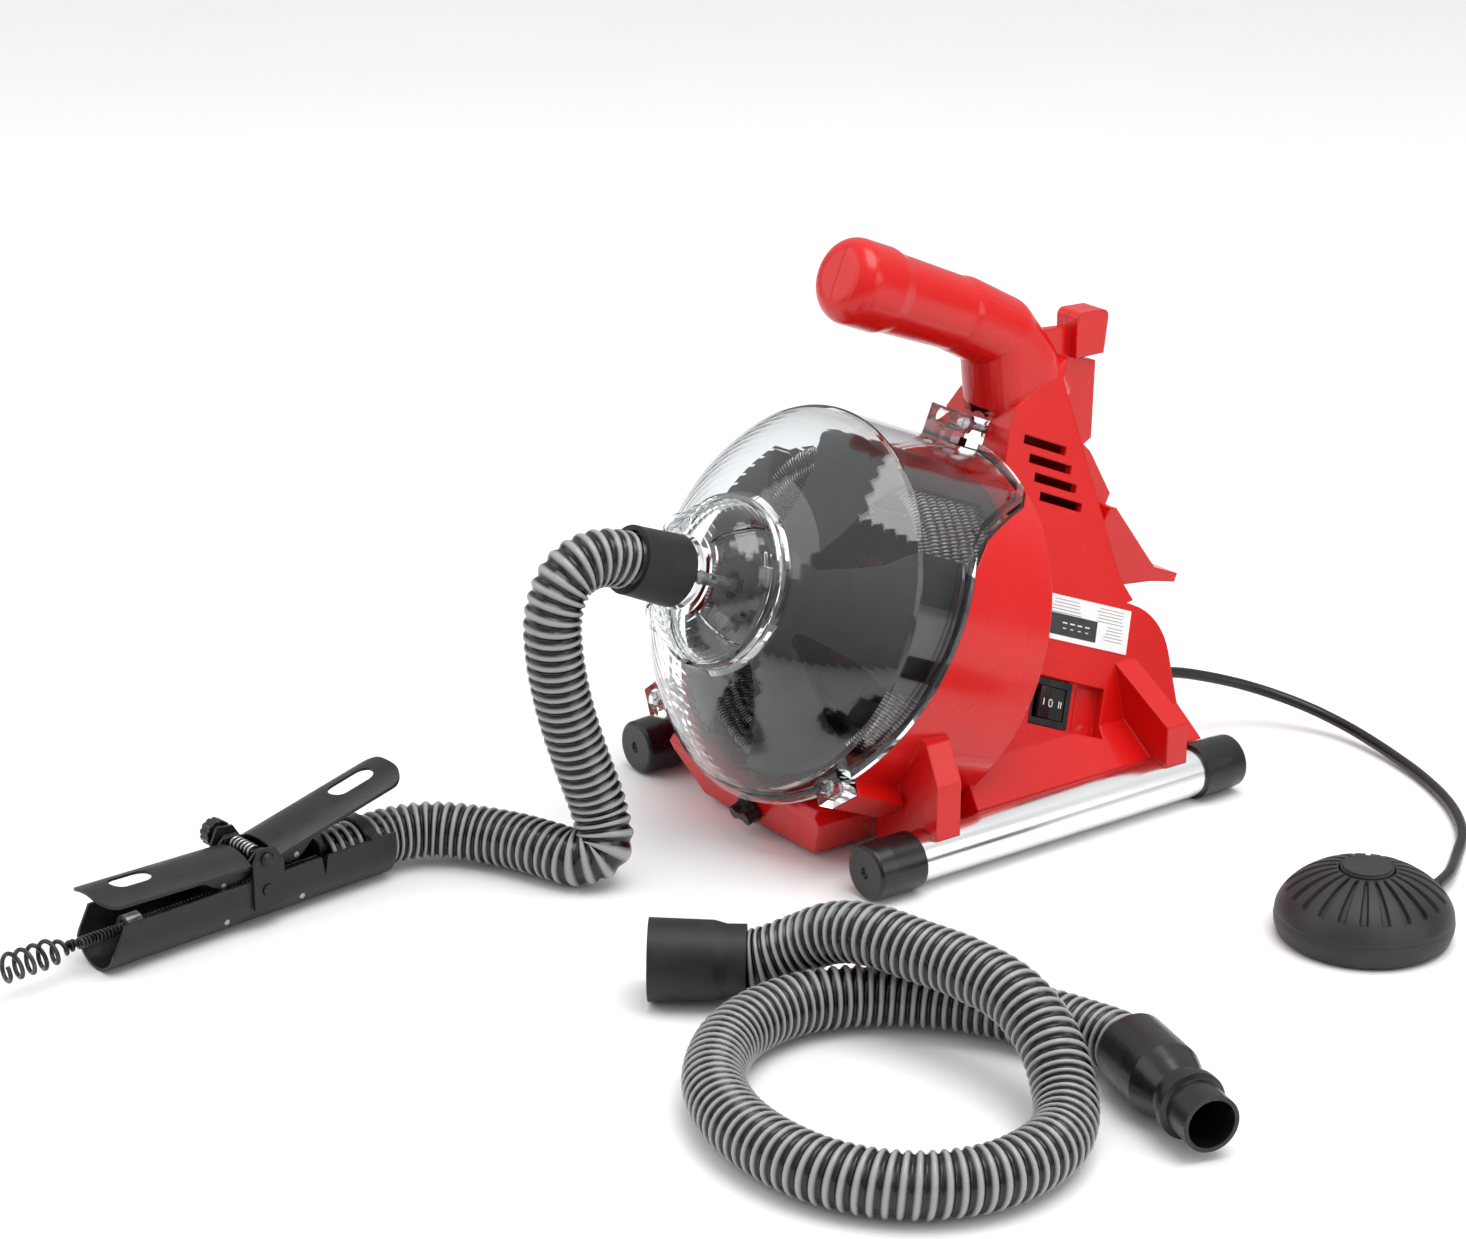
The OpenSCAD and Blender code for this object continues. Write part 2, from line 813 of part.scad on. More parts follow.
// The air-operated switch, with its barb through the rear wall.
module air_switch() {
    color(black) machine() translate([30, 102.9, 40]) rotate([90, 0, 0]) union() {
        rod(13, 0, 24);
        rod(9, 24, 38);
        translate([0, 0, -10]) rod(5, 0, 10);
        difference() {
            rod(5.5, -15, -3.2);
            rod(air_hose_d / 2, -16, -5);
        }
        for (side = [-1, 1])
            translate([side * 4 - 1, -3, 38]) cube([2, 6, 8]);
    }
}

// The drain plug's frame: +Z out of the sump's slanted front wall.
module plug_frame() {
    translate([0, -117, 14]) rotate([111, 0, 0]) children();
}

module drain_plug() {
    color(black) machine() plug_frame() union() {
        rod(6, -7, 1);
        rod(8, 1.1, 3);
        rod(5, 1, 5);
        intersection() {
            rod(8, 3, 9);
            union() {
                translate([-8, -2, 3]) cube([16, 4, 6]);
                for (side = [-1, 1])
                    translate([side * 5.2, 0, 3]) cylinder(r = 3.6, h = 6);
            }
        }
    }
}

module housing_half(side) {
    color(red) machine() intersection() {
        shroud_and_body();
        translate([side > 0 ? 0 : -200, -200, -20]) cube([200, 500, 400]);
    }
}

// Where the two halves are screwed together, as (y, z), from the -X side.
screw_places = [[45, 36], [94, 68], [-8, 36], [112, 104], [-35, 272]];
screw_x = -7;

module housing_screws() {
    color(steel) machine()
        for (p = screw_places)
            translate([screw_x - 3.1, p[0], p[1]]) rotate([0, -90, 0]) pan_screw(2, 3.6, 20);
}

// ---- Feed tool

pin_at = [4, 36];
cable_z = channel_w / 2;
front_roller = [-18, 27];
rear_roller = [26, 29.5];
roller_r = 5.5;
bed_r = 4.5;
bed_z = cable_z - cable_d / 2 - bed_r - 0.15;
channel_y0 = -channel_len / 2;

module feed_channel() {
    r = channel_w / 2;
    color(black) feed() difference() {
        translate([0, channel_len / 2, r]) rotate([90, 0, 0]) linear_extrude(channel_len) difference() {
            union() {
                circle(r = r);
                translate([-r, 0]) square([channel_w, channel_h - r]);
            }
            circle(r = r - 1.5);
            translate([-r + 1.5, 0]) square([channel_w - 3, channel_h]);
        }
        translate([0, 0, channel_h]) side_plate([
            [channel_y0 - 1, 1], [channel_y0 - 1, -16], [channel_y0 + 8, 1]
        ], channel_w);
        translate([0, 0, channel_h]) side_plate([[37, 1], [41, 1], [39, -10]], channel_w);
        for (y = [front_roller[0], rear_roller[0]])
            across([y, bed_z], 1.55, channel_w + 10);
        across([4, 20], 1.5, channel_w + 10);
    }
}

// Two ears riveted to the channel's walls, which carry the levers' pivot.
module feed_bracket() {
    color(black) feed() difference() {
        for (side = [-1, 1])
            translate([side * (channel_w / 2 + 0.9), 0, 0]) side_plate([
                [-4, 11], [13, 11], [14, 33], [9, 41], [0, 42], [-4, 34]
            ], 0.8);
        across(pin_at, 2, channel_w + 10);
        across([4, 20], 1.5, channel_w + 10);
    }
}

// The pivot pin and the two rivets of the ears.
module feed_rivets() {
    color(steel) feed() {
        across(pin_at, 1.95, channel_w + 5);
        translate([channel_w / 2 + 2.4, pin_at[0], pin_at[1]]) rotate([0, 90, 0])
            cylinder(r1 = 3.6, r2 = 2.4, h = 1.6);
        for (side = [-1, 1]) {
            translate([side * (channel_w / 2 - 0.1), 4, 20]) across([0, 0], 1.45, 4.4);
            translate([side * (channel_w / 2 + 2.1), 4, 20]) across([0, 0], 3, 0.8);
        }
    }
}

module feed_knob() {
    color(black) feed() translate([-channel_w / 2 - 2.6, pin_at[0], pin_at[1]]) rotate([0, -90, 0])
    difference() {
        union() {
            rod(4.5, 0, 2);
            rod(7, 2, 8.5);
        }
        for (i = [0:11])
            rotate(i * 30) translate([7.3, 0, 1]) cylinder(r = 0.9, h = 9);
    }
}

lever_r = 30;
lever_t = 1.4;
lever_w = 32;

// A lever plate: a curved strip with a round-cornered tip at +Y and an oval finger hole.
// y0 is where the strip starts, y1 its tip, slot the two ends of the finger hole.
module lever_plate(y0, y1, slot) {
    intersection() {
        translate([0, y1, -lever_r]) rotate([90, 0, 0]) linear_extrude(y1 - y0) difference() {
            circle(r = lever_r, $fn = 120);
            circle(r = lever_r - lever_t, $fn = 120);
        }
        translate([0, 0, -9]) linear_extrude(12) difference() {
            union() {
                translate([-lever_w / 2, y0]) square([lever_w, y1 - y0 - 10]);
                translate([-lever_w / 2 + 10, y0]) square([lever_w - 20, y1 - y0]);
                for (side = [-1, 1])
                    translate([side * (lever_w / 2 - 10), y1 - 10]) circle(r = 10);
            }
            translate([0, slot[0] + 6]) circle(r = 6);
            translate([0, slot[1] - 6]) circle(r = 6);
            translate([-6, slot[0] + 6]) square([12, slot[1] - slot[0] - 12]);
        }
    }
}

// A lever's two ears: from the plate, along the points top, to the pin and down to the roller.
module lever_ears(x, roller, top) {
    way = sign(roller[0]);
    for (side = [-1, 1])
        translate([side * x, 0, 0]) difference() {
            side_plate(concat(
                [[pin_at[0] - way * 4, 33], [roller[0], roller[1] - 3], [roller[0] + way * 4, roller[1]]],
                top,
                [[pin_at[0] + way * 3, 38.7], [pin_at[0] - way * 4, 38.7]]
            ), 0.7);
            across(pin_at, 2, 30);
            across(roller, 1.5, 30);
        }
}

module feed_lever_front() {
    color(dark_grey) feed() {
        difference() {
            union() {
                translate([0, -6, 38.5]) rotate([0, 0, 180]) rotate([2, 0, 0]) lever_plate(-3, 80, [44, 66]);
                lever_ears(12.6, front_roller, [[-36, 36.2], [-3, 35]]);
            }
            across(pin_at, 1.99, 60);
        }
    }
}

module feed_lever_rear() {
    color(dark_grey) feed() {
        difference() {
            union() {
                translate([0, 14, 40]) rotate([13, 0, 0]) lever_plate(-3, 78, [42, 68]);
                lever_ears(10.6, rear_roller, [[46, 44.6], [12, 36.9]]);
            }
            across(pin_at, 1.99, 60);
        }
    }
}

module feed_spring() {
    color(steel) feed() for (i = [0:5])
        translate([-7 + i * 2.8, pin_at[0], pin_at[1]]) rotate([0, 90, 0])
            rotate_extrude() translate([3.2, 0]) circle(d = 1.4, $fn = 16);
}

// A grooved steel roller on its own axle.
module roller(p, r, axle_r, width, axle_w) {
    color(steel) feed() difference() {
        union() {
            across(p, r, width);
            across(p, axle_r, axle_w);
        }
        for (side = [-1, 1])
            translate([side * width / 4, p[0], p[1]]) rotate([0, 90, 0]) difference() {
                translate([0, 0, -1]) cylinder(r = r + 1, h = 2);
                translate([0, 0, -2]) cylinder(r = r - 0.7, h = 4);
            }
    }
}

module hose_clip() {
    color(dark_grey) feed() translate([0, 73, cable_z]) rotate([90, 0, 0]) linear_extrude(6) {
        difference() {
            circle(r = hose_d / 2 + 1.6);
            circle(r = hose_d / 2 + 0.1);
            translate([-30, -60]) square([60, 60 + channel_h - cable_z + gap]);
        }
        for (side = [-1, 1])
            translate([side * 14.4 - 2.1, channel_h - cable_z + gap]) square([4.2, 1.4]);
    }
}

// The sleeve near the channel's mouth that the cable runs through.
module cable_guide() {
    color(steel) feed() translate([0, -58, 0]) rotate([90, 0, 0]) difference() {
        union() {
            translate([0, cable_z]) cylinder(r = 6, h = 8);
            translate([-3, 1.85]) cube([6, 10, 8]);
        }
        translate([0, cable_z, -1]) cylinder(r = cable_d / 2 + 0.3, h = 10);
    }
}

tail_y0 = -92;

module cable_tail() {
    color(steel) feed() translate([0, 47, cable_z]) rotate([90, 0, 0]) rod(cable_d / 2, 0, 47 - tail_y0);
}

tip_turns = 6;
tip_pitch = 6.4;

// Radius of the open spiral after t turns: it swells from the cable, then stays wide.
function tip_r(t) = 2 + 4.2 * min(1, t / 1.6);

module auger_tip() {
    color(dark_grey) feed() translate([0, tail_y0 - 0.1, cable_z]) rotate([90, 0, 0]) union() {
        rod(cable_d / 2, 0, 3);
        swept_tube([
            for (i = [0:15 * tip_turns])
                let (t = i / 15) [tip_r(t) * cos(360 * t), tip_r(t) * sin(360 * t), 1.5 + tip_pitch * t]
        ], 0.95, 8, [0, 0, 1]);
    }
}

// ---- Foot pedal

module pedal() {
    machine() translate(pedal_at) children();
}

module pedal_base() {
    r = pedal_d / 2;
    color(black) pedal() difference() {
        rotate_extrude($fn = 120) polygon([
            [0, 0], [r - 4, 0], [r - 1.6, 2], [r - 0.3, 6], [r, 9], [r - 0.4, 12], [0, 12]
        ]);
        rotate(97) translate([r - 12, 0, 7]) rotate([0, 90, 0]) cylinder(r = 3.05, h = 20);
    }
}

dome_top_r = 13;

// Outer profile of the dome, from its rim up to the flat top, inset by t.
function dome_side(t) = [
    for (i = [0:10])
        let (a = 90 * i / 10)
        [dome_top_r + t + (pedal_d / 2 - 0.4 - dome_top_r - 2 * t) * cos(a),
            12.1 + (pedal_h - 14 - t) * pow(sin(a), 0.9)]
];

module pedal_dome() {
    color(dark_grey) pedal() rotate_extrude($fn = 120) polygon(concat(
        dome_side(0), [for (i = [10:-1:0]) dome_side(2)[i]]
    ));
}

module pedal_top() {
    color(dark_grey) pedal() union() {
        rod(dome_top_r - 0.3, pedal_h - 4.5, pedal_h - 1);
        rod(dome_top_r - 1.3, pedal_h - 4.5, pedal_h);
    }
}

module pedal_nipple() {
    color(black) pedal() rotate(97) translate([0, 0, 7]) rotate([0, 90, 0]) {
        rod(3, pedal_d / 2 - 11, pedal_d / 2);
        translate([0, 0, pedal_d / 2 + 0.6]) cylinder(r1 = 4.6, r2 = 3.6, h = 12.4);
        rod(4.6, pedal_d / 2, pedal_d / 2 + 0.6);
    }
}

housing_half(-1);  // housing_left
housing_half(1);  // housing_right
housing_screws();
foot_tube(-1);  // foot_tube_left
foot_tube(1);  // foot_tube_right
foot_cap(-1, -1);  // foot_cap_front_left
foot_cap(1, -1);  // foot_cap_front_right
foot_cap(-1, 1);  // foot_cap_rear_left
foot_cap(1, 1);  // foot_cap_rear_right
drum_cover();
cover_gasket();
cover_screws();
nose_cap();
hose_cuff();
drum_shell();
drum_back();
drum_shaft();
drum_pulley();
cable_coil();
cable_lead();
bearing(-91);  // bearing_front
bearing(-121);  // bearing_rear
drive_belt();
motor_can();
motor_magnets();
motor_rotor();
motor_fan();
motor_pulley();
air_switch();
power_switch_frame();
power_switch_rocker();
cord_gland();
drain_plug();
rating_label();
guide_hose();
feed_channel();
feed_bracket();
feed_rivets();
feed_knob();
feed_lever_front();
feed_lever_rear();
feed_spring();
roller(front_roller, roller_r, 1.45, 12, 26.6);  // feed_roller_front
roller(rear_roller, roller_r, 1.45, 12, 22.6);  // feed_roller_rear
roller([front_roller[0], bed_z], bed_r, 1.5, 12, 29);  // bed_roller_front
roller([rear_roller[0], bed_z], bed_r, 1.5, 12, 29);  // bed_roller_rear
hose_clip();
cable_guide();
cable_tail();
auger_tip();
pedal_base();
pedal_dome();
pedal_top();
pedal_nipple();
air_hose();
spare_hose();
spare_cuff();
spare_adapter();
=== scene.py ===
import math
import random

import bpy
from mathutils import Matrix, Vector


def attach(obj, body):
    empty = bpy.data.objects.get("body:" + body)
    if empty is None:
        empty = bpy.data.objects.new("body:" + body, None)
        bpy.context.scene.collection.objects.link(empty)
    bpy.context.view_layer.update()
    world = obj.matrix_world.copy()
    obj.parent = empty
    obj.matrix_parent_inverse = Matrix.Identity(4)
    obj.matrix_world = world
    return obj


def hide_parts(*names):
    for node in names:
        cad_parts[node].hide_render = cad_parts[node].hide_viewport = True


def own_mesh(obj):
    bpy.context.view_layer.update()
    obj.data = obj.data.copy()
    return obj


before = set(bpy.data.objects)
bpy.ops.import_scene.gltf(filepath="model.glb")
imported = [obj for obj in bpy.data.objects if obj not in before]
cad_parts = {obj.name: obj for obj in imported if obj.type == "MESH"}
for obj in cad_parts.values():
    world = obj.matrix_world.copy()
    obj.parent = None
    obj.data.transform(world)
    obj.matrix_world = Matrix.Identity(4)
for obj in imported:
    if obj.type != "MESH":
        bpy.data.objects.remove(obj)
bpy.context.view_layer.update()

random.seed(7)
print("frame loaded:", len(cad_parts), "nodes")

# Places. Lengths written in mm are in the machine's own frame, whose middle is machineMiddle.
machineMiddle = Vector((-0.099, 0.181, 0.0))
drumTilt = 23  # degrees that the drum's axis rises towards the nose
sideSlope = 0.31  # how fast the housing's sides draw in, going up
sideLean = math.degrees(math.atan(sideSlope))


def turned(x, y, z):
    # a turn about X, then Y, then Z, in degrees
    return (Matrix.Rotation(math.radians(z), 4, "Z") @ Matrix.Rotation(math.radians(y), 4, "Y")
            @ Matrix.Rotation(math.radians(x), 4, "X"))


def place(x, y, z):
    # a point given in mm in the machine's frame
    return machineMiddle + Vector((x, y, z)) / 1000


def halfWidth(z):
    # the housing's half-width in mm at height z, up to its neck
    neckHeight, neckHalfWidth = 213, 20
    return neckHalfWidth + (neckHeight - z) * sideSlope


drumMiddle = place(0, -99, 123.5)
drumFrame = Matrix.Translation(drumMiddle) @ turned(90 - drumTilt, 0, 0)
feedFrame = Matrix.Translation(place(-62.5, -377, 0)) @ turned(0, 0, 6.7)


def sideFrame(y, z, inset, turn):
    # a frame on the side with the switch: x runs back, y up and z outwards
    return (Matrix.Translation(place(halfWidth(z) - inset, y, z)) @ turned(0, -sideLean, 0)
            @ turned(90, 0, 90) @ turned(0, 0, turn))


labelFrame = sideFrame(54, 93, 0.3, 1 - drumTilt)
switchFrame = sideFrame(24, 58, 5, -drumTilt)
rockerTurn, rockerSink = 8, 0.002  # at rest the rocker lies on its front half
rockerFrame = switchFrame @ Matrix.Translation((0, 0, -rockerSink)) @ turned(0, rockerTurn, 0)

# Camera
view = {"place": (1.2043, -0.8965, 0.7209), "pitch": 69.5, "turn": 53.96, "lens": 85.14,
        "sensor": 36}
bpy.ops.object.camera_add(location=view["place"],
                          rotation=(math.radians(view["pitch"]), 0, math.radians(view["turn"])))
camera = bpy.context.object
camera.name = "camera"
camera.data.lens = view["lens"]
camera.data.sensor_fit = "HORIZONTAL"
camera.data.sensor_width = view["sensor"]
bpy.context.scene.camera = camera


def clearSelection():
    if bpy.context.object and bpy.context.object.mode != "OBJECT":
        bpy.ops.object.mode_set(mode="OBJECT")
    bpy.ops.object.select_all(action="DESELECT")


def smoothPath(points, step):
    # an even run of points, a step apart, on the smooth curve through points
    perSpan = 24
    fine = []
    for i in range(len(points) - 1):
        a, b = points[i], points[i + 1]
        before, after = points[max(i - 1, 0)], points[min(i + 2, len(points) - 1)]
        for k in range(perSpan):
            t = k / perSpan
            fine.append(0.5 * (2 * a + t * (b - before)
                               + t * t * (2 * before - 5 * a + 4 * b - after)
                               + t ** 3 * (3 * a - before - 3 * b + after)))
    fine.append(points[-1])
    lengths = [0.0]
    for a, b in zip(fine, fine[1:]):
        lengths.append(lengths[-1] + (b - a).length)
    count = max(2, round(lengths[-1] / step))
    path, at = [], 0
    for k in range(count + 1):
        want = lengths[-1] * k / count
        while at < len(fine) - 2 and lengths[at + 1] < want:
            at += 1
        share = (want - lengths[at]) / max(lengths[at + 1] - lengths[at], 1e-9)
        path.append(fine[at].lerp(fine[at + 1], min(1, share)))
    return path


def pathLength(path):
    return sum((b - a).length for a, b in zip(path, path[1:]))


def sweepTube(name, path, radiusAt, sides, side=Vector((0, 0, 1))):
    # a closed tube along path; radiusAt(run, turn) gives the radius and the rib's height there
    vertices, faces, heights = [], [], []
    run = 0.0
    for i, point in enumerate(path):
        if i:
            run += (point - path[i - 1]).length
        forward = (path[min(i + 1, len(path) - 1)] - path[max(i - 1, 0)]).normalized()
        side = (side - forward * side.dot(forward)).normalized()
        up = forward.cross(side)
        for k in range(sides):
            turn = k / sides
            radius, height = radiusAt(run, turn)
            angle = turn * 2 * math.pi
            vertices.append(point + radius * (math.cos(angle) * side + math.sin(angle) * up))
            heights.append(height)
    for i in range(len(path) - 1):
        for k in range(sides):
            a, b = i * sides + k, i * sides + (k + 1) % sides
            faces.append((a, b, b + sides, a + sides))
    faces.append(tuple(reversed(range(sides))))
    faces.append(tuple(range((len(path) - 1) * sides, len(path) * sides)))
    mesh = bpy.data.meshes.new(name)
    mesh.from_pydata(vertices, [], faces)
    attribute = mesh.attributes.new("rib", "FLOAT", "POINT")
    attribute.data.foreach_set("value", heights)
    piece = bpy.data.objects.new(name, mesh)
    bpy.context.collection.objects.link(piece)
    clearSelection()
    piece.select_set(True)
    bpy.context.view_layer.objects.active = piece
    bpy.ops.object.shade_smooth()
    return piece


# Hoses. Their routes, in mm, are those of the CAD solids that they stand for.
guideHoseParts = {
    "route": [(0, -184, 159.5), (0, -208, 167), (0, -226, 162), (0, -235, 145), (0, -235, 123),
              (0, -230, 96), (1, -222, 68), (4, -214, 41), (9, -214, 22), (2, -224, 15),
              (-14, -231, 15), (-32, -238, 15), (-48, -247, 15), (-60, -258, 16),
              (-69, -271, 16.5), (-73, -288, 16.5), (-70.9, -306, 16.5), (-68, -330, 16.5)],
}
spareHoseParts = {
    "route": [(147, -237, 20), (156, -226, 22), (168, -215, 30), (184, -207, 40), (204, -201, 45),
              (230, -194, 45), (257, -188, 45), (285, -185, 42), (311, -188, 32), (333, -198, 20),
              (350, -214, 15), (360, -235, 15), (362, -260, 15), (354, -284, 15), (338, -303, 15),
              (315, -316, 15), (288, -321, 15), (261, -319, 15), (236, -310, 15), (216, -295, 15),
              (201, -276, 15), (193, -254, 15), (192, -232, 15), (198, -212, 15), (209, -194, 15),
              (224, -178, 15), (244, -164, 15), (267, -153, 15), (290, -146, 15.6),
              (308, -144, 17), (324, -146.5, 17.6)],
}
airHoseParts = {
    "route": [(30, 118, 40), (31, 140, 38), (36, 165, 31), (46, 190, 22), (66, 208, 14),
              (92, 216, 8), (125, 214, 4.5), (160, 205, 3.2), (192, 190, 3.2), (218, 170, 3.2),
              (236, 147, 3.4), (252, 124, 5.4), (261.2, 103.6, 7)],
    "radius": 0.00298, "sides": 20, "step": 0.003,
}
rib = {"pitch": 0.0054, "crest": 0.01435, "depth": 0.0019, "fullness": 0.75, "rings": 9,
       "sides": 28}


def ribbedRadius(run, turn):
    # a spiral rib: broad round crests with narrow valleys between them
    wave = 0.5 + 0.5 * math.cos(2 * math.pi * (run / rib["pitch"] + turn))
    height = wave ** rib["fullness"]
    return rib["crest"] - rib["depth"] * (1 - height), height


def plainRadius(radius):
    # for a tube that is the same all along: its rib attribute is 1 everywhere
    return lambda run, turn: (radius, 1.0)


def ribbedHose(name, parts):
    points = [place(*p) for p in parts["route"]]
    path = smoothPath(points, rib["pitch"] / rib["rings"])
    return sweepTube(name, path, ribbedRadius, rib["sides"]), path


guideHose, guidePath = ribbedHose("guideHose", guideHoseParts)
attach(guideHose, "machine")
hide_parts("guide_hose")

spareHose, sparePath = ribbedHose("spareHose", spareHoseParts)
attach(spareHose, "spare_set")
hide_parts("spare_hose")

airPath = smoothPath([place(*p) for p in airHoseParts["route"]], airHoseParts["step"])
airHose = sweepTube("airHose", airPath, plainRadius(airHoseParts["radius"]), airHoseParts["sides"])
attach(airHose, "machine")
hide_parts("air_hose")
print("hoses made: guide %.2f m, spare %.2f m, air %.2f m"
      % (pathLength(guidePath), pathLength(sparePath), pathLength(airPath)))


# Materials
def newMaterial(name, colour, roughness, metallic=0.0, **sockets):
    material = bpy.data.materials.new(name)
    material.use_nodes = True
    shader = material.node_tree.nodes["Principled BSDF"]
    shader.inputs["Base Color"].default_value = (*colour, 1)
    shader.inputs["Roughness"].default_value = roughness
    shader.inputs["Metallic"].default_value = metallic
    for socket, value in sockets.items():
        shader.inputs[socket.replace("_", " ")].default_value = value
    material.diffuse_color = (*colour, 1)
    return material


def addNode(material, kind, **values):
    node = material.node_tree.nodes.new(kind)
    for socket, value in values.items():
        node.inputs[socket.replace("_", " ")].default_value = value
    return node


def join(material, source, output, target, socket):
    material.node_tree.links.new(source.outputs[output], target.inputs[socket])


def objectPoints(material, stretch=(1, 1, 1), turn=(0, 0, 0), centre=(0, 0, 0)):
    # Object coordinates, stretched, turned and centred where a pattern needs it
    coordinates = addNode(material, "ShaderNodeTexCoord")
    mapping = addNode(material, "ShaderNodeMapping")
    mapping.vector_type = "TEXTURE"
    mapping.inputs["Location"].default_value = centre
    mapping.inputs["Rotation"].default_value = [math.radians(a) for a in turn]
    mapping.inputs["Scale"].default_value = [1 / s for s in stretch]
    join(material, coordinates, "Object", mapping, "Vector")
    return mapping


def addMottle(material, darker, lighter, size, rough, stretch=(1, 1, 1)):
    # colour and roughness that drift a little over the surface; size is in metres
    low, high = 0.3, 0.7  # nearly all of the noise lies between these
    points = objectPoints(material, stretch)
    noise = addNode(material, "ShaderNodeTexNoise", Scale=1 / size, Detail=4.0, Roughness=0.55)
    join(material, points, "Vector", noise, "Vector")
    ramp = addNode(material, "ShaderNodeValToRGB")
    ramp.color_ramp.elements[0].position = low
    ramp.color_ramp.elements[0].color = (*darker, 1)
    ramp.color_ramp.elements[1].position = high
    ramp.color_ramp.elements[1].color = (*lighter, 1)
    join(material, noise, "Fac", ramp, "Fac")
    shader = material.node_tree.nodes["Principled BSDF"]
    join(material, ramp, "Color", shader, "Base Color")
    rest = addNode(material, "ShaderNodeMapRange")
    rest.inputs["From Min"].default_value = low
    rest.inputs["From Max"].default_value = high
    rest.inputs["To Min"].default_value = rough[0]
    rest.inputs["To Max"].default_value = rough[1]
    join(material, noise, "Fac", rest, "Value")
    join(material, rest, "Result", shader, "Roughness")


def addGrain(material, size, strength, depth, edge=0.0, stretch=(1, 1, 1)):
    # fine bumps of the given size, over edges rounded by edge
    shader = material.node_tree.nodes["Principled BSDF"]
    points = objectPoints(material, stretch)
    noise = addNode(material, "ShaderNodeTexNoise", Scale=1 / size, Detail=2.0)
    join(material, points, "Vector", noise, "Vector")
    bump = addNode(material, "ShaderNodeBump", Strength=strength, Distance=depth)
    join(material, noise, "Fac", bump, "Height")
    if edge:
        bevel = material.node_tree.nodes.new("ShaderNodeBevel")
        bevel.samples = 4
        bevel.inputs["Radius"].default_value = edge
        join(material, bevel, "Normal", bump, "Normal")
    join(material, bump, "Normal", shader, "Normal")


def clearPlastic(name, tint, roughness):
    # clear moulded plastic, with the faint waves that moulding leaves
    material = newMaterial(name, tint, roughness, Transmission_Weight=1.0, IOR=1.3,
                           Specular_IOR_Level=0.7, Coat_Weight=0.5, Coat_Roughness=0.02)
    addGrain(material, 0.03, 0.10, 0.0004)
    return material


redPlastic = newMaterial("redPlastic", (0.6, 0.004, 0.003), 0.26, Specular_IOR_Level=0.35,
                         Coat_Weight=0.2, Coat_Roughness=0.06)
addMottle(redPlastic, (0.57, 0.003, 0.002), (0.63, 0.005, 0.004), 0.09, (0.22, 0.3))
addGrain(redPlastic, 0.0012, 0.12, 0.0003, edge=0.0016)

capRubber = newMaterial("capRubber", (0.006, 0.006, 0.007), 0.25, Specular_IOR_Level=0.45)
addMottle(capRubber, (0.004, 0.004, 0.005), (0.009, 0.009, 0.010), 0.02, (0.2, 0.32))
addGrain(capRubber, 0.0008, 0.15, 0.0002, edge=0.0008)

sealRubber = newMaterial("sealRubber", (0.02, 0.02, 0.02), 0.6)
addMottle(sealRubber, (0.012, 0.012, 0.012), (0.03, 0.03, 0.03), 0.01, (0.5, 0.7))

tubeSteel = newMaterial("tubeSteel", (0.86, 0.87, 0.88), 0.18, 1.0)
addMottle(tubeSteel, (0.74, 0.76, 0.78), (0.92, 0.93, 0.93), 0.05, (0.13, 0.24),
          stretch=(1, 0.15, 1))
addGrain(tubeSteel, 0.0006, 0.06, 0.0001, stretch=(1, 0.03, 1))

screwSteel = newMaterial("screwSteel", (0.62, 0.63, 0.64), 0.3, 1.0)
addMottle(screwSteel, (0.5, 0.51, 0.52), (0.72, 0.73, 0.73), 0.006, (0.24, 0.4))

coverPlastic = clearPlastic("coverPlastic", (0.95, 0.97, 0.98), 0.02)
nosePlastic = clearPlastic("nosePlastic", (0.93, 0.95, 0.96), 0.04)

cuffPlastic = newMaterial("cuffPlastic", (0.014, 0.014, 0.016), 0.45, Specular_IOR_Level=0.3)
addMottle(cuffPlastic, (0.010, 0.010, 0.011), (0.022, 0.022, 0.024), 0.015, (0.4, 0.52))
addGrain(cuffPlastic, 0.0007, 0.2, 0.0002, edge=0.0006)

adapterPlastic = newMaterial("adapterPlastic", (0.008, 0.008, 0.009), 0.26, Specular_IOR_Level=0.45)
addMottle(adapterPlastic, (0.005, 0.005, 0.006), (0.014, 0.014, 0.015), 0.015, (0.2, 0.32))
addGrain(adapterPlastic, 0.001, 0.12, 0.0002, edge=0.0006)

drumPlastic = newMaterial("drumPlastic", (0.010, 0.010, 0.011), 0.4, Specular_IOR_Level=0.3)
addMottle(drumPlastic, (0.006, 0.006, 0.007), (0.016, 0.016, 0.018), 0.05, (0.34, 0.46))
addGrain(drumPlastic, 0.0009, 0.08, 0.0002, edge=0.0010)

shaftSteel = newMaterial("shaftSteel", (0.5, 0.5, 0.52), 0.3, 1.0)
addMottle(shaftSteel, (0.4, 0.4, 0.42), (0.6, 0.6, 0.62), 0.01, (0.25, 0.4))

pulleyMetal = newMaterial("pulleyMetal", (0.6, 0.6, 0.62), 0.35, 1.0)
addMottle(pulleyMetal, (0.5, 0.5, 0.52), (0.68, 0.68, 0.7), 0.01, (0.3, 0.42))

motorPaint = newMaterial("motorPaint", (0.16, 0.16, 0.17), 0.4)
addMottle(motorPaint, (0.12, 0.12, 0.13), (0.2, 0.2, 0.21), 0.02, (0.35, 0.5))

wireSteel = newMaterial("wireSteel", (0.42, 0.42, 0.42), 0.32, 1.0)
addMottle(wireSteel, (0.2, 0.2, 0.2), (0.55, 0.55, 0.54), 0.008, (0.25, 0.45))

darkWire = newMaterial("darkWire", (0.05, 0.05, 0.05), 0.3, metallic=0.9)
addMottle(darkWire, (0.015, 0.015, 0.015), (0.09, 0.09, 0.09), 0.006, (0.22, 0.4))

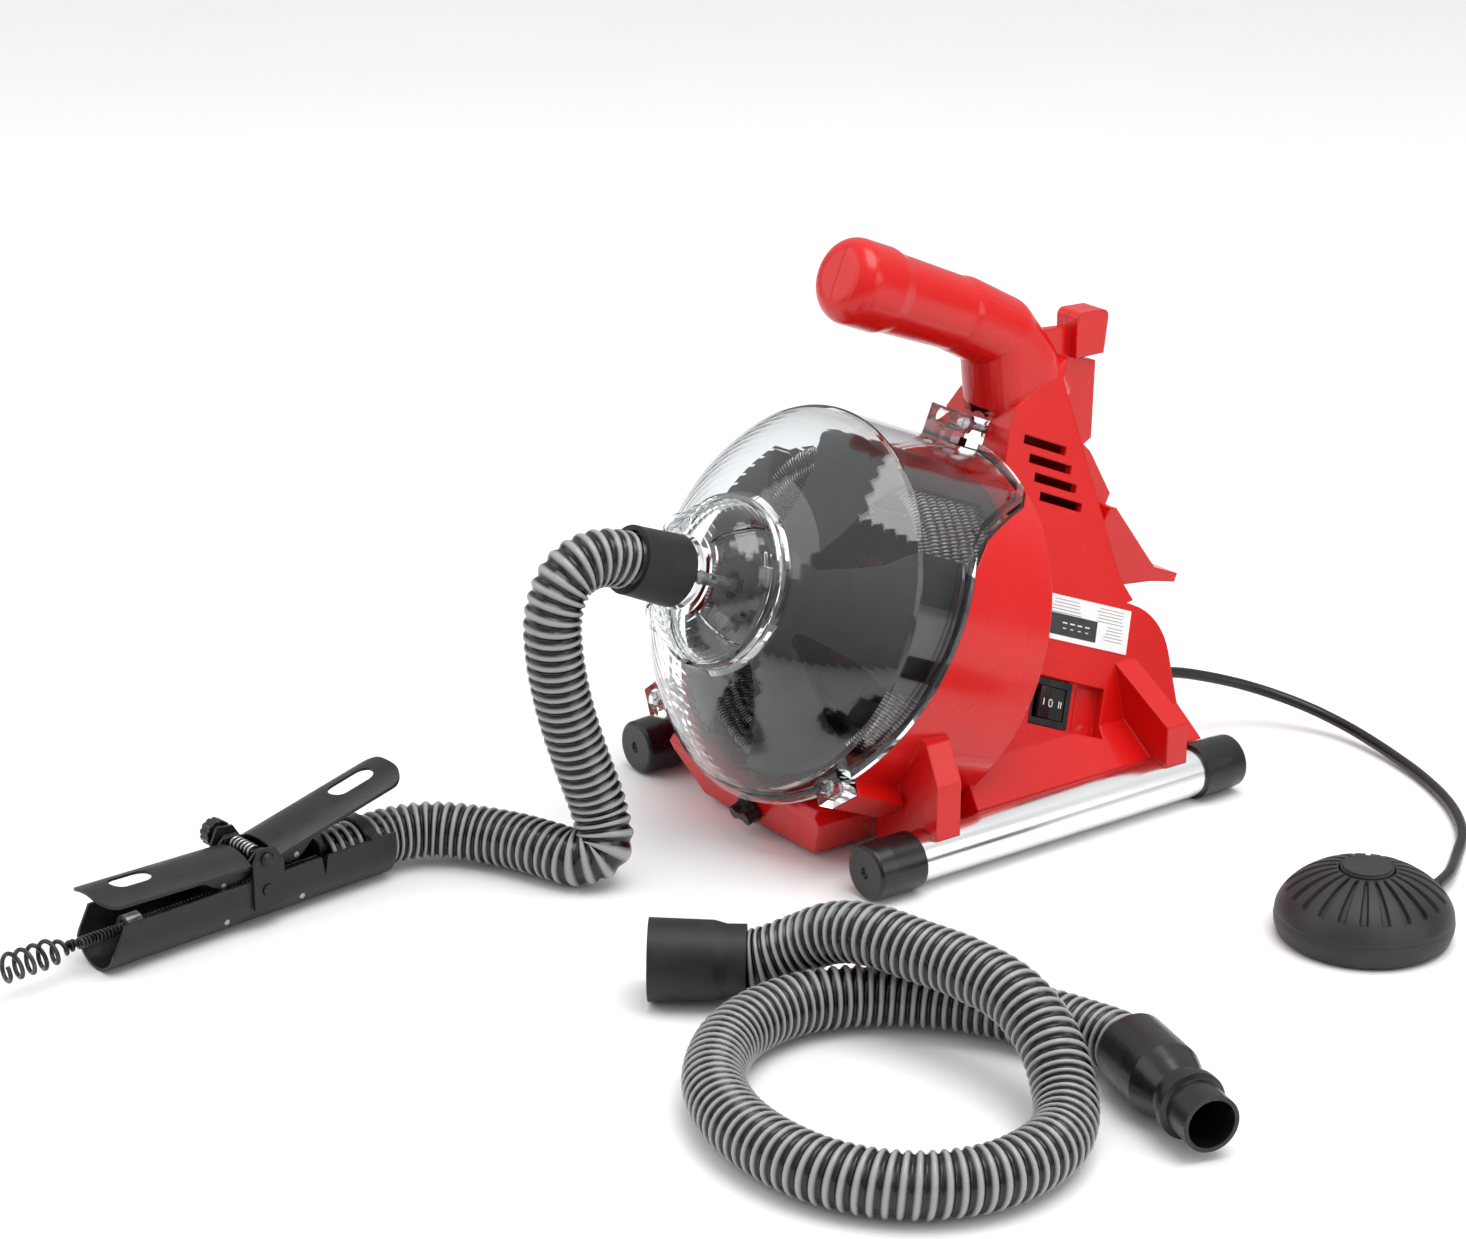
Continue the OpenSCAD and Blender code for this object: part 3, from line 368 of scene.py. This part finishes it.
powderBlack = newMaterial("powderBlack", (0.007, 0.007, 0.008), 0.42, Specular_IOR_Level=0.4)
addMottle(powderBlack, (0.005, 0.005, 0.005), (0.013, 0.013, 0.014), 0.012, (0.34, 0.5))
addGrain(powderBlack, 0.0011, 0.5, 0.0004, edge=0.0004)

switchPlastic = newMaterial("switchPlastic", (0.006, 0.006, 0.007), 0.25, Specular_IOR_Level=0.4)
addMottle(switchPlastic, (0.004, 0.004, 0.005), (0.010, 0.010, 0.011), 0.01, (0.2, 0.32))
addGrain(switchPlastic, 0.0008, 0.1, 0.0002, edge=0.0005)

labelWhite = newMaterial("labelWhite", (0.82, 0.82, 0.81), 0.4)
addMottle(labelWhite, (0.78, 0.78, 0.77), (0.86, 0.86, 0.86), 0.02, (0.34, 0.46))

printBlack = newMaterial("printBlack", (0.02, 0.02, 0.02), 0.45)
addMottle(printBlack, (0.015, 0.015, 0.015), (0.03, 0.03, 0.03), 0.004, (0.4, 0.5))
printGrey = newMaterial("printGrey", (0.35, 0.35, 0.36), 0.45)
addMottle(printGrey, (0.3, 0.3, 0.31), (0.42, 0.42, 0.43), 0.003, (0.4, 0.5))
markWhite = newMaterial("markWhite", (0.75, 0.75, 0.75), 0.45)
addMottle(markWhite, (0.68, 0.68, 0.68), (0.8, 0.8, 0.8), 0.002, (0.4, 0.5))

pedalRubber = newMaterial("pedalRubber", (0.028, 0.026, 0.028), 0.5, Specular_IOR_Level=0.3)
addMottle(pedalRubber, (0.020, 0.018, 0.020), (0.038, 0.035, 0.038), 0.02, (0.42, 0.56))
addGrain(pedalRubber, 0.0008, 0.2, 0.0003, edge=0.0006)

hoseTubing = newMaterial("hoseTubing", (0.006, 0.006, 0.006), 0.3, Specular_IOR_Level=0.4)
addMottle(hoseTubing, (0.004, 0.004, 0.004), (0.010, 0.010, 0.011), 0.02, (0.24, 0.36))


# the hoses' colours: the valley colour is painted shade, the crest colour a painted highlight
hoseShadeAndHighlight = {"valley": (0.001, 0.001, 0.001), "valleyTo": 0.5, "crest": (0.32, 0.323, 0.33),
               "crestFrom": 0.93, "roughness": 0.24}


def ribbedPlasticPaintedLight():
    # painted highlight in grey on the crests and painted shade in near-black in the valleys, from
    # the height that each hose keeps in its mesh
    material = newMaterial("ribbedPlasticPaintedLight", hoseShadeAndHighlight["crest"], hoseShadeAndHighlight["roughness"])
    shader = material.node_tree.nodes["Principled BSDF"]
    height = material.node_tree.nodes.new("ShaderNodeAttribute")
    height.attribute_name = "rib"
    ramp = addNode(material, "ShaderNodeValToRGB")
    ramp.color_ramp.elements[0].position = hoseShadeAndHighlight["valleyTo"]
    ramp.color_ramp.elements[0].color = (*hoseShadeAndHighlight["valley"], 1)
    ramp.color_ramp.elements[1].position = hoseShadeAndHighlight["crestFrom"]
    ramp.color_ramp.elements[1].color = (*hoseShadeAndHighlight["crest"], 1)
    join(material, height, "Fac", ramp, "Fac")
    join(material, ramp, "Color", shader, "Base Color")
    addGrain(material, 0.0009, 0.12, 0.0002)
    return material


hosePlastic = ribbedPlasticPaintedLight()


# the groove colour is painted shade between the wire turns
wireTurnsAndShade = {"round": 260, "groove": (0.05, 0.05, 0.05), "top": (0.5, 0.5, 0.49), "topFrom": 0.7,
             "depth": 0.0006, "roughness": 0.36}


def woundWirePaintedShade():
    # the cable's fine wire turns, counted round the drum's axis, with painted shade darkening the
    # grooves between them
    material = newMaterial("woundWirePaintedShade", wireTurnsAndShade["top"], wireTurnsAndShade["roughness"], 1.0)
    shader = material.node_tree.nodes["Principled BSDF"]
    points = objectPoints(material, turn=(90 - drumTilt, 0, 0), centre=drumMiddle)
    angle = material.node_tree.nodes.new("ShaderNodeTexGradient")
    angle.gradient_type = "RADIAL"
    join(material, points, "Vector", angle, "Vector")
    turns = addNode(material, "ShaderNodeMath")
    turns.operation = "MULTIPLY"
    turns.inputs[1].default_value = wireTurnsAndShade["round"] * 2 * math.pi
    join(material, angle, "Fac", turns, 0)
    wave = addNode(material, "ShaderNodeMath")
    wave.operation = "SINE"
    join(material, turns, "Value", wave, 0)
    bump = addNode(material, "ShaderNodeBump", Strength=0.9, Distance=wireTurnsAndShade["depth"])
    join(material, wave, "Value", bump, "Height")
    join(material, bump, "Normal", shader, "Normal")
    # painted shade: dark in the grooves, lighter on the turns
    ramp = addNode(material, "ShaderNodeValToRGB")
    ramp.color_ramp.elements[0].color = (*wireTurnsAndShade["groove"], 1)
    ramp.color_ramp.elements[1].position = wireTurnsAndShade["topFrom"]
    ramp.color_ramp.elements[1].color = (*wireTurnsAndShade["top"], 1)
    level = addNode(material, "ShaderNodeMapRange")
    level.inputs["From Min"].default_value = -1
    join(material, wave, "Value", level, "Value")
    join(material, level, "Result", ramp, "Fac")
    join(material, ramp, "Color", shader, "Base Color")
    return material


coilWire = woundWirePaintedShade()

finishes = {
    redPlastic: ["housing_left", "housing_right"],
    capRubber: ["foot_cap_front_left", "foot_cap_front_right", "foot_cap_rear_left",
                "foot_cap_rear_right"],
    sealRubber: ["cover_gasket", "drive_belt"],
    tubeSteel: ["foot_tube_left", "foot_tube_right"],
    screwSteel: ["housing_screws", "cover_screws"],
    coverPlastic: ["drum_cover"],
    nosePlastic: ["nose_cap"],
    cuffPlastic: ["hose_cuff", "spare_cuff"],
    adapterPlastic: ["spare_adapter", "drain_plug", "cord_gland", "air_switch"],
    drumPlastic: ["drum_shell", "drum_back", "motor_fan"],
    shaftSteel: ["drum_shaft", "bearing_front", "bearing_rear", "motor_rotor"],
    pulleyMetal: ["drum_pulley", "motor_pulley"],
    motorPaint: ["motor_can", "motor_magnets"],
    wireSteel: ["cable_lead", "feed_spring", "cable_guide", "feed_roller_front", "feed_roller_rear",
                "bed_roller_front", "bed_roller_rear"],
    powderBlack: ["feed_channel", "feed_bracket", "feed_lever_front", "feed_lever_rear",
                  "hose_clip", "feed_rivets"],
    switchPlastic: ["power_switch_frame", "power_switch_rocker", "feed_knob"],
    labelWhite: ["rating_label"],
    pedalRubber: ["pedal_base", "pedal_nipple", "pedal_top"],
}
for material, names in finishes.items():
    for name in names:
        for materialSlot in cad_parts[name].material_slots:
            materialSlot.material = material
for hose, material in ((guideHose, hosePlastic), (spareHose, hosePlastic), (airHose, hoseTubing)):
    hose.data.materials.append(material)
print("finishes set:", sum(len(names) for names in finishes.values()), "nodes")

# The cable wound in the drum, in layers from the wall inwards, each given in mm as
# (radius, first height, last height)
coil = {"layers": ((81.8, -68.5, -20.2), (75.4, -27.1, -68.5), (69.0, -68.5, -40.9)),
        "pitch": 6.9, "perTurn": 72, "crossing": 14, "radius": 0.00298, "sides": 14}


def coilPath():
    # the cable climbs along each layer, then crosses over to the next
    corners = []
    for radius, first, last in coil["layers"]:
        count = round(abs(last - first) / coil["pitch"] * coil["perTurn"])
        if corners:
            before = corners[-1]
            for k in range(1, coil["crossing"]):
                share = k / coil["crossing"]
                corners.append((before[0] + (radius - before[0]) * share,
                                before[1] + (first - before[1]) * share))
        corners += [(radius, first + (last - first) * k / count) for k in range(count + 1)]
    path = []
    for k, (radius, height) in enumerate(corners):
        angle = k * 2 * math.pi / coil["perTurn"]
        point = Vector((radius * math.cos(angle), radius * math.sin(angle), height)) / 1000
        path.append(drumFrame @ point)
    return path


coilWinding = sweepTube("coilWinding", coilPath(), plainRadius(coil["radius"]), coil["sides"])
coilWinding.data.materials.append(coilWire)
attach(coilWinding, "drum")
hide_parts("cable_coil")
print("drum's cable wound")

# The cable's end in the feed tool and the open spiral at its tip, as wound wire
cableEnd = {"from": 0.046, "to": -0.0912, "height": 0.0165, "radius": 0.003, "wire": 0.0009,
            "turns": 68, "perTurn": 14, "sides": 8}
spiral = {"from": -0.0931, "closed": 1.5, "open": 5.6, "tight": 0.0019, "pitch": 0.0064,
          "start": 0.0019, "swell": 0.0042, "swellTurns": 1.6, "wire": 0.0011, "perTurn": 32,
          "sides": 12}


def wireHelix(name, count, pointAt, settings):
    points = range(round(count * settings["perTurn"]) + 1)
    path = [feedFrame @ pointAt(k / settings["perTurn"]) for k in points]
    return sweepTube(name, path, plainRadius(settings["wire"]), settings["sides"],
                     side=Vector((0, 1, 0)))


def cablePoint(turns):
    radius = cableEnd["radius"] - cableEnd["wire"]
    angle = 2 * math.pi * turns
    along = cableEnd["from"] + (cableEnd["to"] - cableEnd["from"]) * turns / cableEnd["turns"]
    return Vector((radius * math.cos(angle), along, cableEnd["height"] + radius * math.sin(angle)))


def spiralPoint(turns):
    opened = max(0, turns - spiral["closed"])
    radius = spiral["start"] + spiral["swell"] * min(1, opened / spiral["swellTurns"])
    angle = 2 * math.pi * turns
    shut = min(turns, spiral["closed"])
    along = spiral["from"] - shut * spiral["tight"] - opened * spiral["pitch"]
    return Vector((radius * math.cos(angle), along, cableEnd["height"] + radius * math.sin(angle)))


cableWinding = wireHelix("cableWinding", cableEnd["turns"], cablePoint, cableEnd)
cableWinding.data.materials.append(darkWire)
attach(cableWinding, "cable_end")
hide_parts("cable_tail")
augerSpiral = wireHelix("augerSpiral", spiral["closed"] + spiral["open"], spiralPoint, spiral)
augerSpiral.data.materials.append(darkWire)
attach(augerSpiral, "auger")
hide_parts("auger_tip")
print("cable end made:", cableEnd["turns"], "turns")

# The pedal's grooved dome; every twelve columns hold one groove, three columns wide
pedal = {"centre": (268, 48), "rim": 0.0426, "foot": 0.0121, "rise": 0.0222, "hole": 0.0133,
         "flatness": 1.7, "roundness": 0.65, "columns": 264, "rings": 72, "perGroove": 12,
         "grooveWide": 3, "grooveFrom": 0.0150, "grooveTo": 0.0375, "depth": 0.0022,
         "wall": 0.0016, "sharpest": 40}


def makePedalDome():
    clearSelection()
    low = place(*pedal["centre"], 0) + Vector((0, 0, pedal["foot"]))
    bpy.ops.mesh.primitive_uv_sphere_add(segments=pedal["columns"], ring_count=pedal["rings"],
                                         radius=1)
    dome = bpy.context.object
    dome.name = "pedalDome"
    bpy.ops.object.mode_set(mode="EDIT")
    bpy.ops.mesh.select_all(action="SELECT")
    bpy.ops.mesh.bisect(plane_co=(0, 0, 0), plane_no=(0, 0, 1), clear_inner=True)
    bpy.ops.object.mode_set(mode="OBJECT")
    # the profile: full at the shoulder, then nearly straight up to the flat top
    for vertex in dome.data.vertices:
        x, y, z = vertex.co
        height = min(1.0, max(0.0, z))
        reach = math.hypot(x, y)
        spread = (1 - height ** pedal["flatness"]) ** pedal["roundness"]
        wide = pedal["hole"] + (pedal["rim"] - pedal["hole"]) * spread
        if reach > 1e-6:
            vertex.co = (x / reach * wide, y / reach * wide, pedal["rise"] * height)
        else:
            vertex.co = (0, 0, pedal["rise"])
    bpy.ops.object.mode_set(mode="EDIT")
    bpy.ops.mesh.select_all(action="DESELECT")
    bpy.ops.mesh.select_mode(type="FACE")
    bpy.ops.object.mode_set(mode="OBJECT")
    # the grooves are pressed in
    step = 2 * math.pi / pedal["columns"]
    for face in dome.data.polygons:
        column = int((math.atan2(face.center.y, face.center.x) % (2 * math.pi)) / step)
        reach = math.hypot(face.center.x, face.center.y)
        face.select = (column % pedal["perGroove"] < pedal["grooveWide"]
                       and pedal["grooveFrom"] < reach < pedal["grooveTo"])
    bpy.ops.object.mode_set(mode="EDIT")
    bpy.ops.transform.shrink_fatten(value=-pedal["depth"])
    bpy.ops.mesh.select_all(action="DESELECT")
    bpy.ops.object.mode_set(mode="OBJECT")
    # the top is cut out where the button stands
    for face in dome.data.polygons:
        face.select = math.hypot(face.center.x, face.center.y) < pedal["hole"] + 0.0001
    bpy.ops.object.mode_set(mode="EDIT")
    bpy.ops.mesh.delete(type="FACE")
    bpy.ops.object.mode_set(mode="OBJECT")
    dome.data.transform(Matrix.Translation(low))
    bpy.ops.object.shade_smooth_by_angle(angle=math.radians(pedal["sharpest"]))
    thickness = dome.modifiers.new("wall", "SOLIDIFY")
    thickness.thickness = pedal["wall"]
    thickness.offset = -1
    bpy.ops.object.modifier_apply(modifier="wall")
    return dome


pedalDome = makePedalDome()
pedalDome.data.materials.append(pedalRubber)
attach(pedalDome, "machine")
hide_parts("pedal_dome")
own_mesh(pedalDome)
print("pedal dome made")

# The label's print and the rocker's marks: plain blocks and lines, each given in mm as
# (middle x, middle y, width, height); a text column is (x, its drift, top, width, its drift)
label = {"lift": 0.00086, "inkLift": 0.00004, "block": (-9, -3.4, 33, 11), "rows": 5,
         "rowStep": 1.7, "line": 0.5, "topColumns": ((-14, 0.6, 9.4, 20, 4), (16, 0.6, 9.4, 21, 5)),
         "lowColumns": ((19, 0.4, 0.4, 14, 4),), "markFrom": -14, "markStep": 5, "marks": 4,
         "markRows": ((-2.2, 3.2, 0.7), (-5, 2, 0.5))}
rocker = {"marks": ((-6, 0, 0.7, 3.4), (5.4, 0, 0.7, 3.4), (7, 0, 0.7, 3.4)), "markLift": 0.0051,
          "ring": ((-1.2, 0, 0.6, 3), (1.2, 0, 0.6, 3), (0, 1.7, 2, 0.6), (0, -1.7, 2, 0.6)),
          "ringLift": 0.0043}


def flatPrint(name, patches, frameOf, material, lift):
    # flat patches on a face, as one piece
    clearSelection()
    for index, (x, y, width, height) in enumerate(patches):
        if index == 0:
            bpy.ops.mesh.primitive_plane_add(size=1, location=(0, 0, 0))
            printed = bpy.context.object
            printed.name = name
            bpy.ops.object.mode_set(mode="EDIT")
        else:
            bpy.ops.mesh.select_all(action="DESELECT")
            bpy.ops.mesh.primitive_plane_add(size=1, location=(0, 0, 0))
        bpy.ops.transform.resize(value=(width / 1000, height / 1000, 1))
        bpy.ops.transform.translate(value=(x / 1000, y / 1000, lift))
    bpy.ops.object.mode_set(mode="OBJECT")
    printed.data.transform(frameOf)
    printed.data.materials.append(material)
    return printed


def textColumns(columns):
    # lines of text as bars, each a little different in place and length
    bars = []
    for row in range(label["rows"]):
        for x, xDrift, top, width, widthDrift in columns:
            bars.append((x + random.uniform(-xDrift, xDrift), top - row * label["rowStep"],
                         width + random.uniform(-widthDrift, 0), label["line"]))
    return bars


labelBlock = flatPrint("labelBlock", [label["block"]], labelFrame, printBlack, label["lift"])
textLines = textColumns(label["topColumns"]) + textColumns(label["lowColumns"])
labelLines = flatPrint("labelLines", textLines, labelFrame, printGrey, label["lift"])
markBars = [(label["markFrom"] + label["markStep"] * k, y, width, height)
            for y, width, height in label["markRows"] for k in range(label["marks"])]
labelMarks = flatPrint("labelMarks", markBars, labelFrame, markWhite,
                       label["lift"] + label["inkLift"])
for piece in (labelBlock, labelLines, labelMarks):
    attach(piece, "machine")

switchMarks = flatPrint("switchMarks", rocker["marks"], rockerFrame, markWhite, rocker["markLift"])
switchRing = flatPrint("switchRing", rocker["ring"], rockerFrame, markWhite, rocker["ringLift"])
for piece in (switchMarks, switchRing):
    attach(piece, "rocker")
print("label and marks made")

# Floor, the room's light and the softboxes
floorParts = {"size": 30, "drop": 0.0003}
bpy.ops.mesh.primitive_plane_add(size=floorParts["size"], location=(0, 0, -floorParts["drop"]))
floor = bpy.context.object
floor.name = "floor"
floorPaint = newMaterial("floorPaint", (0.94, 0.94, 0.94), 0.6)
addMottle(floorPaint, (0.935, 0.935, 0.935), (0.945, 0.945, 0.945), 0.5, (0.6, 0.7))
floor.data.materials.append(floorPaint)

sky = {"low": (0.42, 0.43, 0.44), "high": (1, 1, 1), "highFrom": 0.75, "strength": 0.84}
world = bpy.data.worlds.new("studio")
world.use_nodes = True
skyNodes, skyLinks = world.node_tree.nodes, world.node_tree.links
skyPoints = skyNodes.new("ShaderNodeTexCoord")
skyHeight = skyNodes.new("ShaderNodeSeparateXYZ")
skyRamp = skyNodes.new("ShaderNodeValToRGB")
skyRamp.color_ramp.elements[0].position = 0
skyRamp.color_ramp.elements[0].color = (*sky["low"], 1)
skyRamp.color_ramp.elements[1].position = sky["highFrom"]
skyRamp.color_ramp.elements[1].color = (*sky["high"], 1)
skyLinks.new(skyPoints.outputs["Generated"], skyHeight.inputs["Vector"])
skyLinks.new(skyHeight.outputs["Z"], skyRamp.inputs["Fac"])
skyLinks.new(skyRamp.outputs["Color"], skyNodes["Background"].inputs["Color"])
skyNodes["Background"].inputs["Strength"].default_value = sky["strength"]
bpy.context.scene.world = world
bpy.context.scene.view_settings.view_transform = "Standard"  # keeps the red full and the floor pale

softboxes = {
    "topLight": {"place": (0.5, 0.3, 2.4), "size": 1.8, "power": 42},
    "sideLight": {"place": (2.0, 1.1, 1.0), "size": 1.2, "power": 9},
    "frontLight": {"place": (-1.6, -2.0, 1.6), "size": 2.4, "power": 20},
}
lightsAim = Vector((0, 0, 0.1))
for name, box in softboxes.items():
    bpy.ops.object.light_add(type="AREA", location=box["place"])
    lamp = bpy.context.object
    lamp.name = name
    lamp.data.size = box["size"]
    lamp.data.energy = box["power"]
    towards = lightsAim - Vector(box["place"])
    lamp.rotation_euler = towards.to_track_quat("-Z", "Y").to_euler()
print("stage set")

clearSelection()
